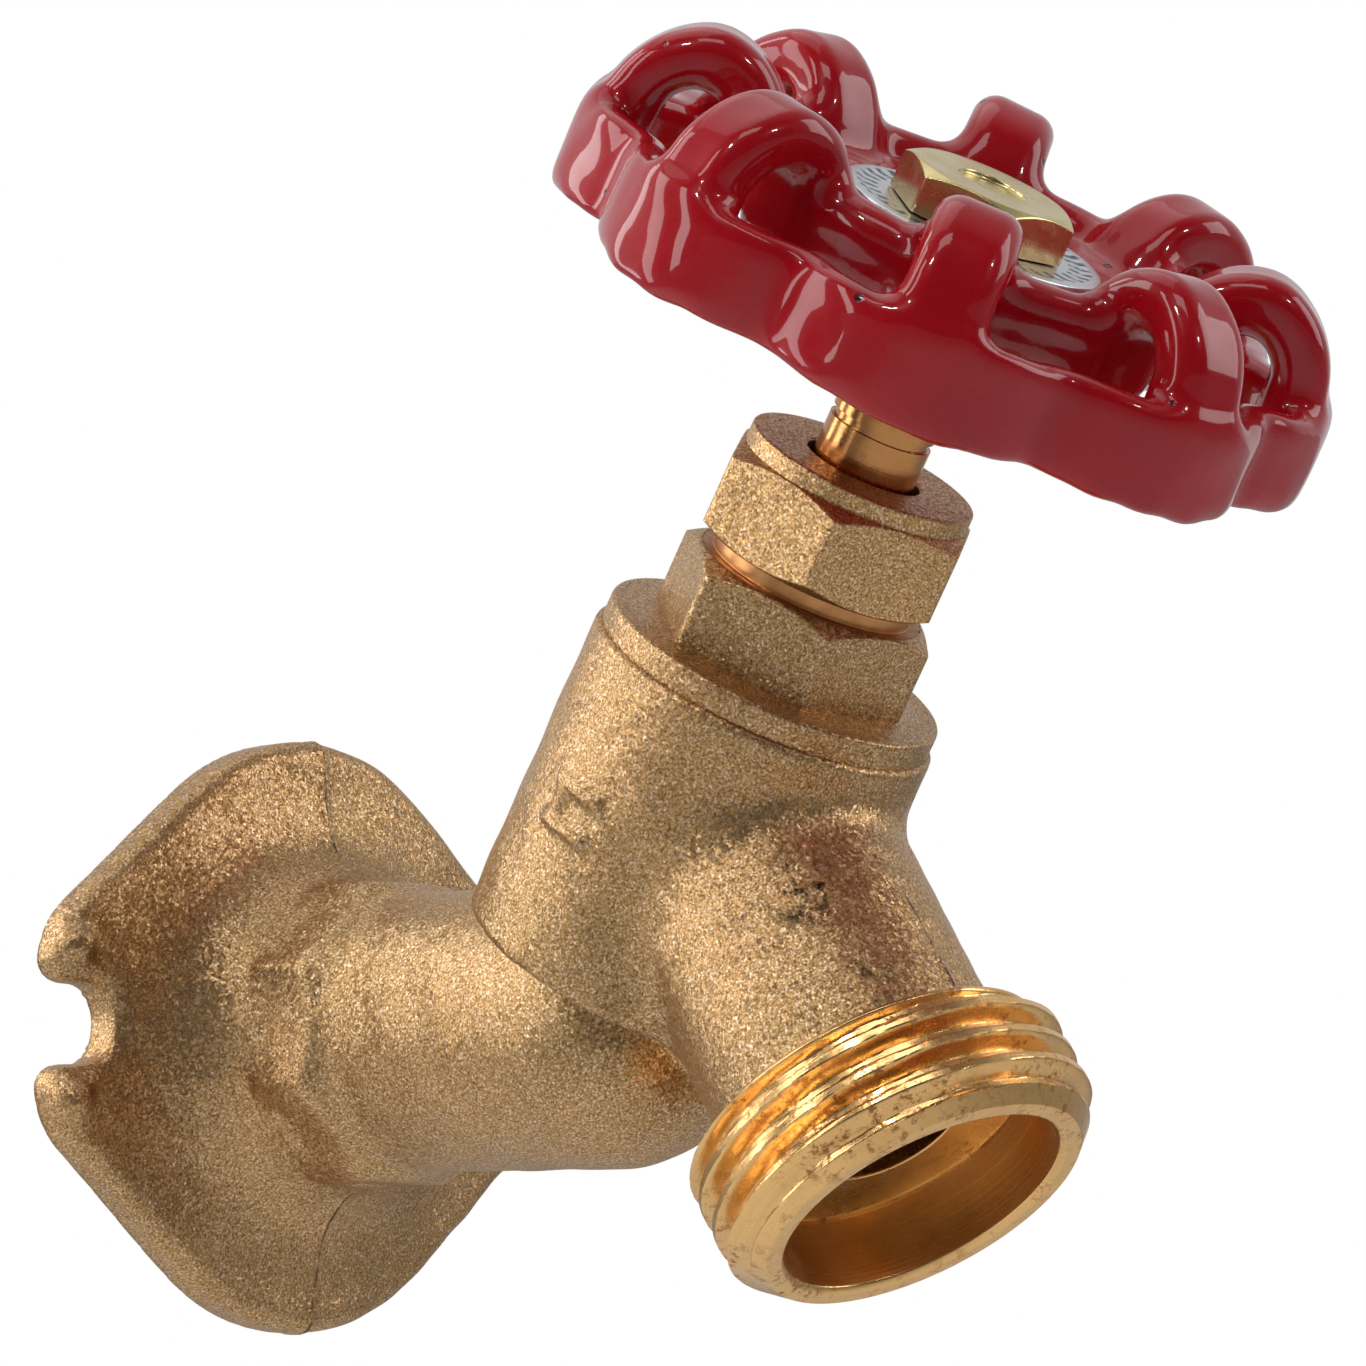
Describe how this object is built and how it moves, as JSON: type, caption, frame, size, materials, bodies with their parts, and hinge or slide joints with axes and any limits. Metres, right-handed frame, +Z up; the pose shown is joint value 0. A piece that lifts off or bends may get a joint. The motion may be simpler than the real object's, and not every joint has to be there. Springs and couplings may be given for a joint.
{
  "type": "hose bib",
  "caption": "Angled brass hose bib with a two-slot wall flange, solder-cup inlet, male hose-thread outlet and a lobed red handwheel that raises the seat washer",
  "frame": {"origin": "centre of the inlet's mouth, in the plane of the flange's back face", "axes": "+X points out of the wall along the inlet pipe, +Z up; the stem leans 32 degrees from +Z towards +X"},
  "size_m": [0.0891, 0.0548, 0.0898],
  "materials": {
    "cast_brass": "shot-blasted sand casting, matte with a fine metallic grain",
    "machined_brass": "turned and bright",
    "pale_brass": "turned, slightly dull, greenish yellow",
    "red_enamel": "thick glossy dipped enamel",
    "aluminium_disc": "thin stamped sheet, satin",
    "fibre": "pressed fibre",
    "graphite": "graphite packing",
    "black_rubber": "moulded rubber"
  },
  "bodies": {
    "housing": {"valve_body": "cast_brass", "bonnet": "cast_brass", "bonnet_gasket": "fibre", "packing_ring": "graphite", "gland_washer": "machined_brass", "packing_nut": "cast_brass"},
    "lift": {"seat_washer": "black_rubber"},
    "spindle": {"stem": "machined_brass", "washer_screw": "machined_brass", "handwheel": "red_enamel", "id_plate": "aluminium_disc", "handle_screw": "pale_brass"}
  },
  "joints": [
    {"name": "stem_lift", "type": "slide", "parent": "housing", "child": "lift", "axis": [0.5299, 0, 0.848], "range_m": [0, 0.00582]},
    {"name": "handwheel_turn", "type": "hinge", "parent": "lift", "child": "spindle", "pos_m": [0.0335, 0, 0], "axis": [0.5299, 0, 0.848], "range_deg": [0, 990]}
  ],
  "couplings": [
    {"joint": "stem_lift", "follows": "handwheel_turn", "m_per_rad": 0.00033682}
  ]
}
